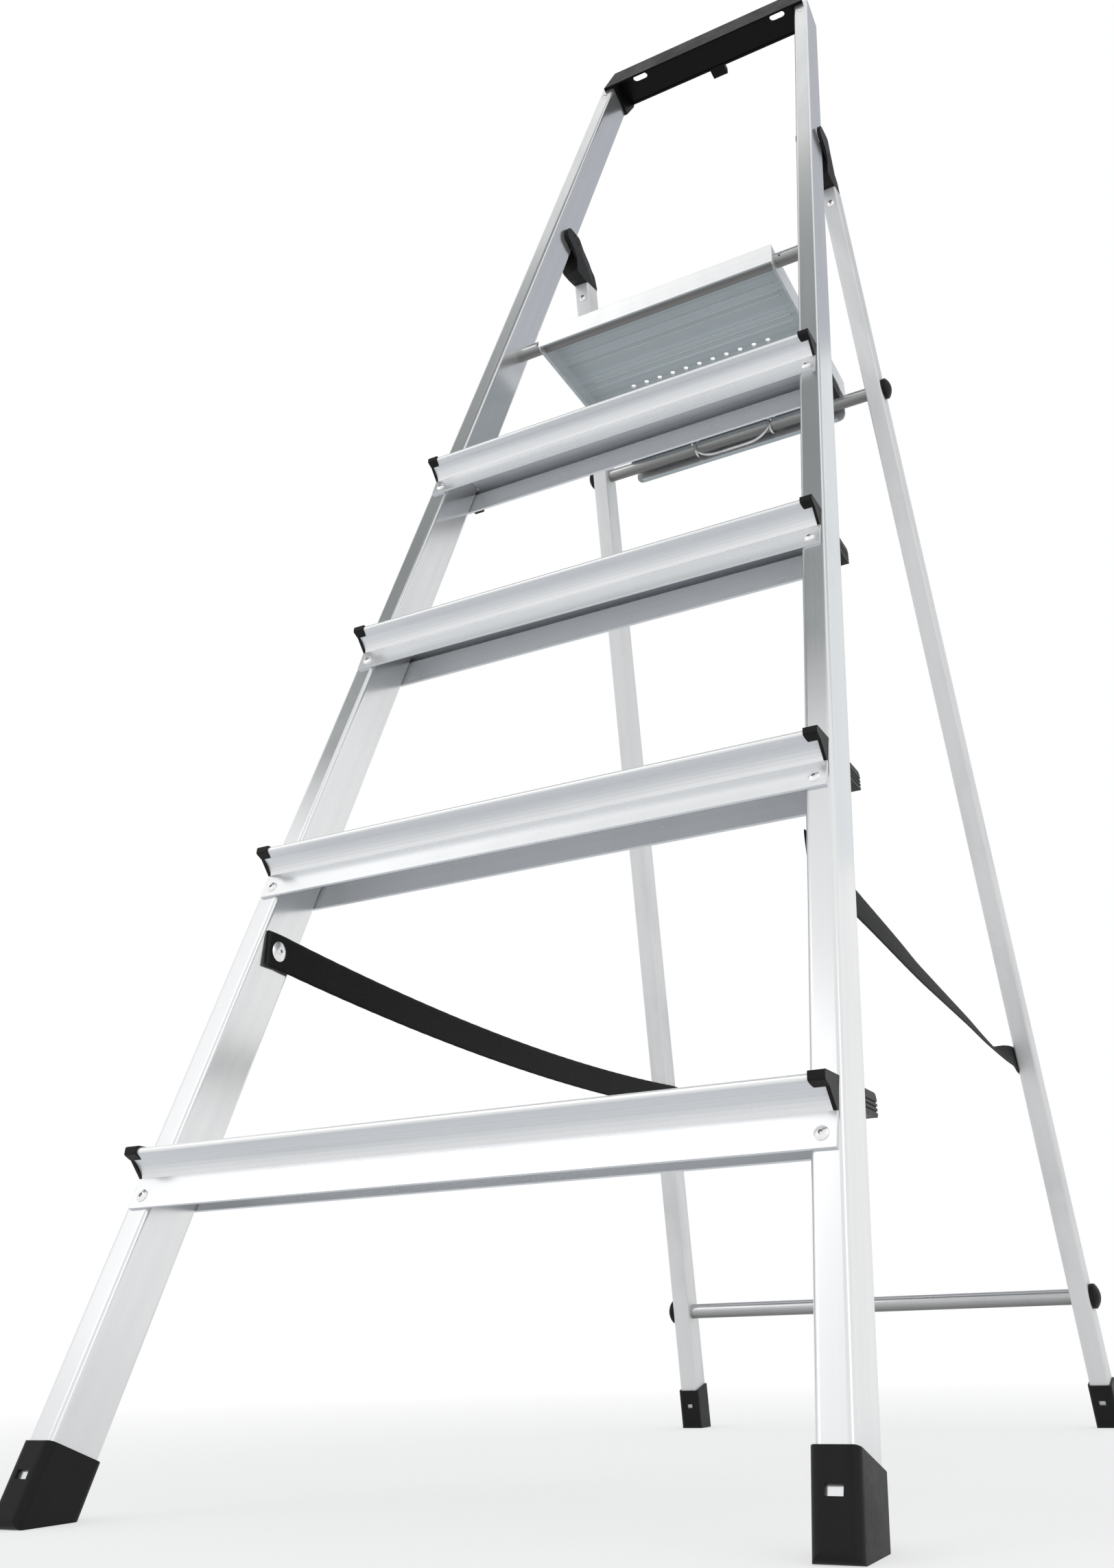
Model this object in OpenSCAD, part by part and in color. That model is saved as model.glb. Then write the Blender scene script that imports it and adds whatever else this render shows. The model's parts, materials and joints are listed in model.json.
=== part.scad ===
// Folding step ladder: four treads, a fold-up platform, a tool tray on top and webbing straps.
// X runs across, Y from the front to the rear, Z up. The origin lies on the floor, midway
// across the ladder and midway between its front and rear feet.

/* [Stance] */
// Lean of the front stiles from upright
front_lean = 19.92; // [19:0.02:21]
// Lean of the rear legs from upright
rear_lean = 13.95; // [13:0.05:15]
// Width over the front stiles at the floor
front_base_w = 469; // [455:1:485]
// Inward tilt of each front stile, seen from the front
front_splay = 2.98; // [2.8:0.02:3.2]
// Outward tilt of each rear leg, seen from behind
rear_splay = 2.35; // [2.2:0.05:2.5]

/* [Front stiles] */
// Width of a stile, seen from the front
stile_w = 17.8; // [17:0.1:20]
// Depth of a stile, from its front face to its rear face
stile_d = 37.8; // [36:0.1:40]
// Wall of the stile's hollow section
stile_wall = 1.4; // [1.2:0.1:1.8]
// Corner radius of the stile's section
stile_r = 3; // [2.5:0.1:3.5]
// Distance along the slope from the floor to a stile's top end
stile_top = 1733; // [1725:1:1740]

/* [Steps] */
// Height of the first front flange's lower edge above the floor
first_step_z = 162.7; // [155:0.1:170]
// Rise from one tread to the next
step_rise = 215; // [212:0.5:218]
// Thickness of the tread's sheet
step_t = 1.8; // [1.5:0.1:2]
// Height of the front flange that lies on the stiles
flange_h = 17.5; // [16:0.1:19]
// Height of the tread's top above the flange's lower edge
tread_h = 34.4; // [33:0.1:36]
// How far the nose stands ahead of the flange's lower edge
nose_reach = 9.5; // [8:0.1:10]
// How far the tread's rear edge lies behind the flange's lower edge
tread_reach = 74; // [72:0.1:76]
// Height of the rear flange
rear_flange_h = 24; // [22:0.1:26]
// How far a tread's end stays inside the stile's outer face
step_inset = 3.8; // [3:0.1:5]
// Width of the plastic block that closes a nose's end
cap_w = 9; // [8:0.1:10]

/* [Rear frame] */
// Distance along the slope from the floor to the fold axis
pivot_s = 1367; // [1355:1:1375]
// Depth of the fold axis behind the stile's front face
pivot_n = 28; // [27:0.1:29]
// Distance of the legs' front face behind the fold axis
leg_set = 38.1; // [38:0.1:42]
// Distance from the fold axis down to a leg's upper end
leg_drop = 34.6; // [33:0.1:38]
// Width of a rear leg
leg_w = 17.3; // [16.5:0.1:18]
// Depth of a rear leg
leg_d = 26.2; // [25:0.1:28]
// Wall of the leg's hollow section
leg_wall = 1.2; // [1:0.1:1.5]
// Outer radius of the cross tubes
tube_r = 7; // [6.8:0.1:7.2]
// Height of the platform's top face over the upper cross tube's axis
upper_tube_seat = 34.76; // [33:0.02:36]
// Distance up the rear legs from the floor to the lower cross tube
lower_tube_up = 115; // [100:1:130]

/* [Platform] */
// Height of the platform's top face
platform_z = 1053; // [1050:0.5:1056]
// Width of the platform
platform_w = 258; // [250:1:262]
// Thickness of the platform's sheet
platform_t = 1.5; // [1.2:0.1:1.8]
// Height of the platform's side flanges
platform_side_h = 24; // [22.5:0.5:25]
// Height of the platform's front band
platform_band_h = 21; // [20:0.5:23]
// Depth of the platform tube's centre behind the stile's front face
platform_tube_n = 23.4; // [22:0.1:24]

/* [Feet] */
// Length of a front foot along the stile
front_foot_h = 43.3; // [40:0.1:48]
// Length of a rear foot along the leg
rear_foot_h = 36.7; // [34:0.1:42]
// Wall of the feet
foot_wall = 2; // [1.8:0.1:2.4]
// Thickness of the sole under a frame tube's end
sole_t = 7; // [6:0.1:9]

/* [Top tray] */
// How far the tray's front top edge stands beyond the stiles' ends, up the slope
tray_rise = 28; // [26:0.5:30]
// How far the tray's top corners lie inside the line of the stiles' outer faces
tray_corner_in = 14.1; // [12:0.1:16]
// Height of the rim above the tray's floor
tray_rim_h = 5.5; // [5:0.1:6]
// How far the tray's lip stands ahead of the stiles
lip_n = 4; // [3.5:0.1:4.5]

/* [Straps] */
// Width of the webbing
strap_w = 25; // [22:0.5:28]
// Thickness of the webbing
strap_t = 1.2; // [1:0.1:1.6]
// Distance along the stile from the floor to the strap's rivet
strap_front_s = 366; // [355:1:375]
// Distance from the fold axis down the leg to the strap's rivet
strap_rear_drop = 992; // [980:1:1000]
// How far the strap's middle hangs below the line between its rivets
strap_sag = 13; // [8:1:24]

/* [Hidden] */
$fn = 48;
arc_steps = 6;
step_count = 4;
far = 900;
eps = 0.01;

// Colours
aluminium = "#d5d9dc";
tube_metal = "#b9bfc2";
black_plastic = "#1d1d1f";
webbing = "#141416";

// Running clearance of the moving fits, on the radius
run_gap = 0.05;
// Air between a tread and the stiles' inner faces
notch_gap = 0.2;

// Rivets
rivet_head_r = 3.8;
rivet_head_h = 1.8;
rivet_shank_r = 2.4;
rivet_shank_l = 6;
rivet_hollow_r = 1.3;
rivet_hollow_h = 1.2;
step_rivet_in = 7.6;
step_rivet_up = 6.4;
rear_rivet_up = 9;
strap_rivet_head_r = 8;
strap_rivet_head_h = 2.2;

// A point of the front frame as [y, z], from its distance up the slope and its depth
function front_point(s, n) =
    [s * sin(front_lean) + n * cos(front_lean), s * cos(front_lean) - n * sin(front_lean)];
// Half the width over the stiles and between them, at a distance up the slope
function stile_out(s) = front_base_w / 2 - s * tan(front_splay);
function stile_in(s) = stile_out(s) - stile_w;

// Fold axis and the rear frame that hangs from it
pivot = front_point(pivot_s, pivot_n);
leg_inset = 1.3;
// A point of the rear frame as [y, z], from its depth behind the axis and its height over it
function rear_point(u, v) =
    pivot + [u * cos(rear_lean) - v * sin(rear_lean), u * sin(rear_lean) + v * cos(rear_lean)];
function leg_out(v) = stile_out(pivot_s) - leg_inset - v * tan(rear_splay);
function leg_in(v) = leg_out(v) - leg_w;
fold_angle = front_lean + rear_lean;

// Feet reach the floor with rounded corners, which set the depth over all
foot_r = 4;
foot_top_r = 2.5;
foot_front_y = -foot_wall / cos(front_lean) + foot_r * ((1 + sin(front_lean)) / cos(front_lean) - 1);
foot_rear_u = leg_set + leg_d + foot_wall;
foot_rear_y = pivot[0] + pivot[1] * tan(rear_lean) + foot_rear_u / cos(rear_lean)
    - foot_r * ((1 + sin(rear_lean)) / cos(rear_lean) - 1);
depth_mid = (foot_front_y + foot_rear_y) / 2;

// Cross tubes
tube_wall = 1.1;
tube_u = leg_set + leg_d / 2 - 0.7;
upper_tube_drop = (pivot[1] + tube_u * sin(rear_lean) - platform_z + upper_tube_seat) / cos(rear_lean);
upper_tube = rear_point(tube_u, -upper_tube_drop);
lower_tube_drop = -floor_v(tube_u) - lower_tube_up;
lower_tube = rear_point(tube_u, -lower_tube_drop);
platform_tube_z = platform_z - 10;
platform_tube_s = (platform_tube_z + platform_tube_n * sin(front_lean)) / cos(front_lean);
platform_axis = front_point(platform_tube_s, platform_tube_n);

// Platform sheet
band_y = platform_axis[0] - 12.9;
panel_rear_y = upper_tube[0] + 11.3;

/* Shapes that the sub-parts share */

module placed() translate([0, -depth_mid, 0]) children();

module front_frame() placed() rotate([-front_lean, 0, 0]) children();

module rear_frame() placed() translate([0, pivot[0], pivot[1]]) rotate([rear_lean, 0, 0]) children();

module on_side(side) mirror([side < 0 ? 1 : 0, 0, 0]) children();

// Turns a flat outline in [depth, height] into a bar across the ladder
module across(x_low, x_high)
    translate([x_low, 0, 0]) rotate([90, 0, 90]) linear_extrude(x_high - x_low) children();

// Turns a flat outline in [across, height] into a bar from one depth to another
module rearward(y_low, y_high)
    translate([0, y_high, 0]) rotate([90, 0, 0]) linear_extrude(y_high - y_low) children();

function unit(v) = v / norm(v);

// Points of an arc that rounds the corner b between its neighbours a and c
function corner_arc(a, b, c, r) =
    let (
        u = unit(a - b),
        w = unit(c - b),
        half = acos(u * w) / 2,
        centre = b + unit(u + w) * r / sin(half),
        from = b + u * r / tan(half) - centre,
        to = b + w * r / tan(half) - centre,
        start = atan2(from[1], from[0]),
        sweep = (atan2(to[1], to[0]) - start + 540) % 360 - 180
    )
    [for (i = [0:arc_steps]) centre + r * [cos(start + sweep * i / arc_steps), sin(start + sweep * i / arc_steps)]];

// An outline with its corners rounded; a radius of 0 keeps a corner sharp
function rounded(points, radii) =
    let (n = len(points))
    [for (i = [0:n - 1]) each
        radii[i] <= 0
            ? [points[i]]
            : corner_arc(points[(i + n - 1) % n], points[i], points[(i + 1) % n], radii[i])];

// The open path's own points with its inner corners rounded
function rounded_path(points, radii) =
    let (n = len(points))
    [for (i = [0:n - 1]) each
        i == 0 || i == n - 1 || radii[i] <= 0
            ? [points[i]]
            : corner_arc(points[i - 1], points[i], points[i + 1], radii[i])];

function right_of(a, b) = let (d = unit(b - a)) [d[1], -d[0]];

// A sheet's section: the path is one face and the other lies at thickness t to its right
function sheet(path, t) =
    let (n = len(path))
    concat(path, [for (i = [n - 1:-1:0])
        let (
            before = i > 0 ? right_of(path[i - 1], path[i]) : right_of(path[0], path[1]),
            after = i < n - 1 ? right_of(path[i], path[i + 1]) : before
        )
        path[i] + (before + after) * t / (1 + before * after)]);

module rounded_rect(w, d, r)
    polygon(rounded([[-w / 2, -d / 2], [w / 2, -d / 2], [w / 2, d / 2], [-w / 2, d / 2]], [r, r, r, r]));

// A rod across the ladder with its centre at [y, z]
module rod(at, r, x_low, x_high)
    translate([x_low, at[0], at[1]]) rotate([0, 90, 0]) cylinder(r = r, h = x_high - x_low);

// A blind rivet along +Z: its head stands up from 0 and its shank runs down
module rivet(head_r = rivet_head_r, head_h = rivet_head_h) {
    difference() {
        union() {
            intersection() {
                translate([0, 0, head_h - head_r * 1.6]) sphere(r = head_r * 1.6, $fn = 64);
                cylinder(r = head_r, h = head_h);
            }
            translate([0, 0, -rivet_shank_l]) cylinder(r = rivet_shank_r, h = rivet_shank_l);
        }
        translate([0, 0, head_h - rivet_hollow_h]) cylinder(r = rivet_hollow_r, h = rivet_hollow_h + 1);
    }
}

module rivet_hole()
    translate([0, 0, -rivet_shank_l]) cylinder(r = rivet_shank_r, h = rivet_shank_l + 4);

/* Front stiles */

// A bar that follows the right stile between two distances up the slope
module stile_bar(low, high, grow = 0)
    front_frame() translate([front_base_w / 2 - stile_w / 2, 0, 0]) rotate([0, -front_splay, 0])
        translate([0, stile_d / 2, low]) linear_extrude(high - low)
            rounded_rect(stile_w + 2 * grow, stile_d + 2 * grow, stile_r + grow);

module below(z)
    translate([-far, -far, z - far]) cube([2 * far, 2 * far, far]);

// The solid that the stile's outer skin encloses, down to the foot's sole
module stile_skin()
    difference() {
        stile_bar(-20, stile_top);
        below(sole_t);
    }

module stile(side)
    color(aluminium) on_side(side) difference() {
        stile_skin();
        stile_bar(-3 * stile_w, stile_top + 10, -stile_wall);
        step_rivet_places(1) rivet_hole();
        tray_rivet_place() rivet_hole();
        strap_rivet_front_place() rivet_hole();
        pin_rod(0);
        placed() rod(platform_axis, tube_r, 0, stile_out(platform_tube_s) - stile_w / 2);
    }

/* Steps */

function step_z(i) = first_step_z + (i - 1) * step_rise;
function step_s(i) = step_z(i) / cos(front_lean);
function step_end(i) = stile_out(step_s(i)) - step_inset;

module at_step(i) placed() translate([0, step_z(i) * tan(front_lean), step_z(i)]) children();

// Depth of the stile's front or rear face at a height over the flange's lower edge
function face_y(n, z) = (n + z * sin(front_lean)) / cos(front_lean);

nose_drop = 5.9;
nose_bottom = [-nose_reach + 4, tread_h - nose_drop];
nose_tip = [-nose_reach, tread_h - 3.5];
nose_top = [-nose_reach + 1, tread_h - 0.6];
flange_top = [face_y(-step_t, flange_h), flange_h];
band_bow = 1.6;
rear_edge_drop = 9.6;

grip_rib_w = 2;
grip_rib_h = 0.7;
grip_rib_pitch = 6;
grip_rib_first = 2;
grip_rib_last = tread_reach - 12;

// The slanted band between flange and nose, bowed inwards
function band_points(n) =
    let (across_band = unit([nose_bottom[1] - flange_top[1], flange_top[0] - nose_bottom[0]]))
    [for (i = [0:n - 1]) let (k = i / n)
        flange_top + (nose_bottom - flange_top) * k + across_band * band_bow * 4 * k * (1 - k)];

// The tread's outer face, up the flange and over the nose
front_path = concat(
    [[face_y(-step_t, 0), 0]],
    band_points(6),
    rounded_path(
        [nose_bottom, nose_tip, nose_top, [-nose_reach + 4, tread_h], [grip_rib_first - 1, tread_h]],
        [0, 1.9, 1.9, 3, 0]
    )
);

// The rest of it, over the rear edge and down the rear flange
rear_path = rounded_path(
    [
        [tread_reach - 6, tread_h],
        [tread_reach, tread_h],
        [tread_reach - 1, tread_h - rear_edge_drop],
        [face_y(stile_d + step_t, rear_flange_h), rear_flange_h],
        [face_y(stile_d + step_t, 0), 0]
    ],
    [0, 3, 2.5, 0, 0]
);

// Raised ribs along the top against slipping
grip_path = [for (y = [grip_rib_first:grip_rib_pitch:grip_rib_last]) each [
    [y, tread_h], [y, tread_h + grip_rib_h], [y + grip_rib_w, tread_h + grip_rib_h], [y + grip_rib_w, tread_h]
]];

module step_section() {
    plain = concat(front_path, rear_path);
    section = sheet(plain, step_t);
    inner = [for (i = [len(plain):len(section) - 1]) section[i]];
    polygon(concat(front_path, grip_path, rear_path, inner));
}

cap_web_t = 2;
cap_proud = 0.8;
cap_low_r = 3.5;
block_drop = nose_drop + 0.9;

// Side outline of the cap's block, which wraps the nose
function nose_block() = rounded([
    [-nose_reach + 4.6, tread_h - block_drop],
    [-nose_reach - cap_proud, tread_h - block_drop + 2.6],
    [-nose_reach - cap_proud + 0.6, tread_h + cap_proud],
    [face_y(0, tread_h + cap_proud), tread_h + cap_proud],
    [face_y(0, tread_h - block_drop), tread_h - block_drop]
], [1, 1.5, 1.5, 0, 0]);

// Side outline of the thin web under it, down to the flange's top
function web_outline() = [
    [-nose_reach + 4.6, tread_h - block_drop + 0.5],
    flange_top,
    [face_y(0, flange_h), flange_h],
    [face_y(0, tread_h - block_drop + 0.5), tread_h - block_drop + 0.5]
];

// The block's front view, with its lower inner corner rounded
module nose_block_front(end)
    rearward(-40, 40) polygon(rounded([
        [end - cap_w, tread_h - block_drop - 1],
        [end + 1, tread_h - block_drop - 1],
        [end + 1, tread_h + 2],
        [end - cap_w, tread_h + 2]
    ], [cap_low_r, 0, 0, 0.8]));

module front_cap(i) {
    end = step_end(i);
    at_step(i) {
        intersection() {
            across(end - cap_w, end) polygon(nose_block());
            nose_block_front(end);
        }
        across(end - cap_web_t, end) polygon(web_outline());
    }
}

function rear_block() = rounded([
    [face_y(stile_d, rear_flange_h - 1.5), rear_flange_h - 1.5],
    [tread_reach + 0.3, rear_flange_h - 1.5],
    [tread_reach + cap_proud, tread_h + cap_proud],
    [face_y(stile_d, tread_h + cap_proud), tread_h + cap_proud]
], [0, 2, 4, 0]);

rear_cap_groove = 0.7;

module rear_cap(i) {
    end = step_end(i);
    at_step(i) difference() {
        across(end - cap_w, end) polygon(rear_block());
        for (z = [rear_flange_h + 1:2.4:tread_h - 4])
            translate([end - rear_cap_groove, face_y(stile_d, z) + 3, z])
                cube([2, 30, 1]);
    }
}

// Room that the caps take from a tread's right end
module cap_room(i) {
    end = step_end(i);
    at_step(i) {
        intersection() {
            across(end - cap_w, end + 1) polygon([
                [-nose_reach + 4.6, tread_h - block_drop],
                [-30, tread_h - block_drop],
                [-30, tread_h + 9],
                [face_y(0, tread_h + 9), tread_h + 9],
                [face_y(0, tread_h - block_drop), tread_h - block_drop]
            ]);
            nose_block_front(end);
        }
        across(end - cap_web_t, end + 1) polygon([
            [-30, flange_h], [face_y(0, flange_h), flange_h],
            [face_y(0, tread_h), tread_h], [-30, tread_h]
        ]);
        across(end - cap_w, end + 1) polygon([
            [face_y(stile_d + step_t, rear_flange_h - 1.5), rear_flange_h - 1.5],
            [tread_reach + 20, rear_flange_h - 1.5],
            [tread_reach + 20, tread_h + 9],
            [face_y(stile_d, tread_h + 9), tread_h + 9],
            [face_y(stile_d, rear_flange_h - 1.5 + 1.6), rear_flange_h - 1.5 + 1.6],
            [face_y(stile_d, rear_flange_h - 1.5), rear_flange_h - 1.5]
        ]);
    }
}

// The notch that lets a tread pass between the stiles
module stile_notch()
    front_frame() translate([front_base_w / 2 - stile_w - notch_gap, 0, 0]) rotate([0, -front_splay, 0])
        cube([3 * stile_w, stile_d, stile_top]);

module step(i)
    color(aluminium) difference() {
        at_step(i) across(-step_end(i), step_end(i)) step_section();
        for (side = [-1, 1]) on_side(side) {
            stile_notch();
            cap_room(i);
            step_rivet_place(i) rivet_hole();
        }
    }

module step_caps(side, front)
    color(black_plastic) on_side(side) for (i = [1:step_count])
        if (front) front_cap(i); else rear_cap(i);

// Puts a rivet on the front flange and one on the rear flange of a tread's right end
module step_rivet_place(i) {
    x = step_end(i) - step_rivet_in;
    front_frame() {
        translate([x, -step_t, step_s(i) + step_rivet_up / cos(front_lean)]) rotate([90, 0, 0]) children();
        translate([x, stile_d + step_t, step_s(i) + rear_flange_s(i)])
            rotate([-90, 0, 0]) children();
    }
}

// Distance up the slope of the rear rivet, past the step's own datum
function rear_flange_s(i) = stile_d * tan(front_lean) + rear_rivet_up;

module step_rivet_places(dummy) for (i = [1:step_count]) step_rivet_place(i) children();

module step_rivets()
    color(aluminium) for (side = [-1, 1]) on_side(side) step_rivet_places(1) rivet();

/* Feet */

module front_foot(side)
    color(black_plastic) on_side(side) difference() {
        intersection() {
            stile_bar(-60, front_foot_h + 5, foot_wall);
            front_frame() across(0, far) polygon(rounded([
                [-foot_wall, -foot_wall * tan(front_lean)],
                [stile_d + foot_wall, (stile_d + foot_wall) * tan(front_lean)],
                [stile_d + foot_wall, front_foot_h],
                [-foot_wall, front_foot_h]
            ], [foot_r, foot_r, foot_top_r, 1]));
        }
        stile_skin();
        front_frame() translate([stile_out(26) - stile_w / 2 - foot_window_w / 2, -foot_wall - 2, 24])
            cube([foot_window_w, foot_wall + 2, foot_window_h]);
    }

foot_window_w = 8;
foot_window_h = 4.5;

module rear_foot(side)
    color(black_plastic) on_side(side) difference() {
        intersection() {
            leg_bar(-far * 2, rear_foot_v + 5, foot_wall);
            rear_frame() across(0, far) polygon(rounded([
                [leg_set - foot_wall, floor_v(leg_set - foot_wall)],
                [foot_rear_u, floor_v(foot_rear_u)],
                [foot_rear_u, rear_foot_v],
                [leg_set - foot_wall, rear_foot_v]
            ], [foot_r, foot_r, foot_top_r, 1]));
        }
        leg_skin();
        rear_frame() translate([leg_out(rear_foot_v) - leg_w / 2 - 3, leg_set - foot_wall - 2, rear_foot_v - 17])
            cube([6, foot_wall + 2, 4]);
    }

// Height over the fold axis, along the leg, at which a depth meets the floor
function floor_v(u) = -(pivot[1] + u * sin(rear_lean)) / cos(rear_lean);
rear_foot_v = floor_v(leg_set) + rear_foot_h;

/* Rear legs */

module leg_bar(low, high, grow = 0)
    rear_frame() translate([leg_out(0) - leg_w / 2, 0, 0]) rotate([0, -rear_splay, 0])
        translate([0, leg_set + leg_d / 2, low]) linear_extrude(high - low)
            rounded_rect(leg_w + 2 * grow, leg_d + 2 * grow, leg_r + grow);

leg_r = 2;

// A point [across, up] in the rear frame's own plane, from the leg's middle line and its length
function leg_point(a, v) = [
    leg_out(0) - leg_w / 2 + a * cos(rear_splay) - v * sin(rear_splay),
    a * sin(rear_splay) + v * cos(rear_splay)
];

module leg_skin()
    difference() {
        leg_bar(floor_v(leg_set) - 30, -leg_drop);
        below(sole_t);
    }

module rear_leg(side)
    color(aluminium) on_side(side) difference() {
        leg_skin();
        leg_bar(floor_v(leg_set) - 60, 10, -leg_wall);
        placed() rod(upper_tube, tube_r, 0, far);
        placed() rod(lower_tube, tube_r, 0, far);
        fork_rivet_place() rivet_hole();
        strap_rivet_rear_place() rivet_hole();
    }

// A cross tube ends flush with the legs' outer faces
module cross_tube(at, drop) {
    end = leg_out(-drop) - 0.4;
    color(tube_metal) placed() difference() {
        rod(at, tube_r, -end, end);
        rod(at, tube_r - tube_wall, -end - 1, end + 1);
    }
}

cap_r = 11;
cap_rim = 2.5;
cap_dome = 8.5;
cap_plug = 12;

// The plastic cap on a cross tube's right end, with a plug in the tube
module tube_cap(at, drop) {
    end = leg_out(-drop) + 0.42;
    placed() translate([end, at[0], at[1]]) rotate([0, 90, 0]) {
        cylinder(r = cap_r, h = cap_rim);
        intersection() {
            translate([0, 0, cap_dome - cap_r * 1.4]) sphere(r = cap_r * 1.4, $fn = 64);
            cylinder(r = cap_r, h = cap_dome);
        }
        translate([0, 0, -cap_plug]) cylinder(r = tube_r - tube_wall, h = cap_plug + eps);
    }
}

module tube_caps()
    color(black_plastic) for (side = [-1, 1]) on_side(side) {
        tube_cap(upper_tube, upper_tube_drop);
        tube_cap(lower_tube, lower_tube_drop);
    }

/* Fold hinge */

pin_r = 4;
cheek_t = 3.6;
lug_r = 13;
lug_reach = 20;
cheek_clear = 0.4 + lug_reach * tan(front_splay);
cheek_out = stile_out(pivot_s) + cheek_clear;
cheek_in = stile_in(pivot_s) - cheek_clear;
pin_bury = 2.6;
pin_end_gap = 0.3;
body_u = stile_d - pivot_n + 1.2;

module pin_rod(grow)
    placed() rod(pivot, pin_r + grow, cheek_in - pin_bury + pin_end_gap * (grow > 0 ? 0 : 1),
        cheek_out + pin_bury - pin_end_gap * (grow > 0 ? 0 : 1));

module hinge_pin(side) color(tube_metal) on_side(side) pin_rod(0);

leg_rear_u = leg_set + leg_d;
shoulder_u = 20;

// Side outline of the fork, from the lug on the axis to the leg's end
fork_outline = concat(
    [for (a = [200:-12.5:75]) lug_r * [cos(a), sin(a)]],
    rounded_path([
        lug_r * [cos(75), sin(75)],
        [17.5, 11],
        [30.5, 1],
        [leg_set + 10, -6],
        [leg_rear_u - 3, -17],
        [leg_rear_u, -leg_drop - 2],
        [leg_set, -leg_drop - 2],
        [body_u, -leg_drop + 2.6],
        [body_u - 3, -19.5],
        lug_r * [cos(200), sin(200)]
    ], [0, 8, 8, 12, 10, 0, 0, 2, 6, 0])
);

// The room that the stile needs between the cheeks, from upright legs to folded ones
slot_outline = [
    [-30, -60],
    [body_u, -60],
    [body_u, (body_u * cos(fold_angle) - body_u) / sin(fold_angle)],
    [(body_u + 30 * sin(fold_angle)) / cos(fold_angle), 30],
    [-30, 30]
];

dimple_r = 1.3;
dimple_depth = 0.8;

module hinge_fork(side)
    color(black_plastic) on_side(side) {
        difference() {
            intersection() {
                rear_frame() across(cheek_in - cheek_t, cheek_out + cheek_t) polygon(fork_outline);
                rear_frame() rearward(-far, far) polygon([
                    leg_point(-leg_w / 2, -leg_drop),
                    leg_point(leg_w / 2, -leg_drop),
                    [cheek_out + cheek_t, -12],
                    [cheek_out + cheek_t, 30],
                    [cheek_in - cheek_t, 30],
                    [cheek_in - cheek_t, -12]
                ]);
                rear_frame() translate([0, 0, -leg_drop - 10]) linear_extrude(leg_drop + 40) polygon([
                    [cheek_in - cheek_t, -40],
                    [cheek_out + cheek_t, -40],
                    [cheek_out + cheek_t, shoulder_u],
                    [leg_out(-leg_drop / 2), leg_rear_u - 10],
                    [leg_out(-leg_drop / 2), 90],
                    [leg_in(-leg_drop / 2), 90],
                    [leg_in(-leg_drop / 2), leg_rear_u - 10],
                    [cheek_in - cheek_t, shoulder_u]
                ]);
            }
            rear_frame() across(cheek_in, cheek_out) polygon(slot_outline);
            pin_rod(run_gap);
            for (at = [[6, 4.4 + 3], [12.5, -0.5]])
                rear_frame() rod(at, dimple_r, cheek_in - cheek_t - 1, cheek_in - cheek_t + dimple_depth);
        }
        difference() {
            leg_bar(-leg_drop - 32, -leg_drop, -leg_wall);
            fork_rivet_place() rivet_hole();
        }
    }

fork_rivet_drop = 53;

module fork_rivet_place()
    rear_frame() translate([leg_out(-fork_rivet_drop) - leg_w / 2, leg_set, -fork_rivet_drop])
        rotate([90, 0, 0]) children();

module fork_rivets()
    color(aluminium) for (side = [-1, 1]) on_side(side) fork_rivet_place() rivet();

/* Platform */

panel_low = platform_z - platform_t;
rib_r = 1.3;
rib_half_w = 114;
rib_places = [28, 48, 59, 67, 90, 98, 107, 145, 153, 161];
dot_y = 124;
dot_pitch = 15.8;
dot_count = 11;
hem_h = 4;
hem_t = 0.5;

module platform_tube() {
    end = stile_out(platform_tube_s) - stile_wall - 0.6;
    color(tube_metal) placed() difference() {
        rod(platform_axis, tube_r, -end, end);
        rod(platform_axis, tube_r - tube_wall, -end - 1, end + 1);
        for (side = [-1, 1])
            translate([side * (platform_w / 2 + 5), platform_axis[0] - tube_r - 1.6, platform_axis[1]])
                sphere(r = 2.8);
    }
}

module platform_tray()
    color(aluminium) placed() difference() {
        union() {
            translate([-platform_w / 2, band_y, panel_low])
                cube([platform_w, panel_rear_y - band_y, platform_t]);
            rearward(band_y, band_y + platform_t) polygon(rounded([
                [-platform_w / 2, platform_z - platform_band_h],
                [platform_w / 2, platform_z - platform_band_h],
                [platform_w / 2, platform_z],
                [-platform_w / 2, platform_z]
            ], [0.8, 0.8, 0, 0]));
            translate([-platform_w / 2, band_y - hem_t, platform_z - platform_band_h])
                cube([platform_w, hem_t + eps, hem_h]);
            for (side = [-1, 1]) on_side(side) {
                across(platform_w / 2 - platform_t, platform_w / 2) polygon(rounded([
                    [band_y, platform_z],
                    [panel_rear_y, platform_z],
                    [panel_rear_y, platform_z - platform_side_h],
                    [band_y, platform_z - platform_side_h]
                ], [0, 0, 3, 5]));
                translate([platform_w / 2 - platform_t, band_y + 6, platform_z - platform_side_h + 1.2])
                    rotate([-90, 0, 0]) cylinder(r = 1.2, h = panel_rear_y - band_y - 12);
            }
            for (y = rib_places) rod([band_y + y, panel_low], rib_r, -rib_half_w, rib_half_w);
            for (i = [0:dot_count - 1])
                translate([(i - (dot_count - 1) / 2) * dot_pitch, band_y + dot_y, platform_z - eps])
                    cylinder(r = 4.6, h = 1);
        }
        for (i = [0:dot_count - 1])
            translate([(i - (dot_count - 1) / 2) * dot_pitch, band_y + dot_y, panel_low - 1]) {
                cylinder(r = 2.6, h = 6);
                cylinder(r = 3.6, h = 2);
            }
        rod(platform_axis, tube_r + run_gap, -far, far);
        rail_rivet_places() rivet_hole();
    }

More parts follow.
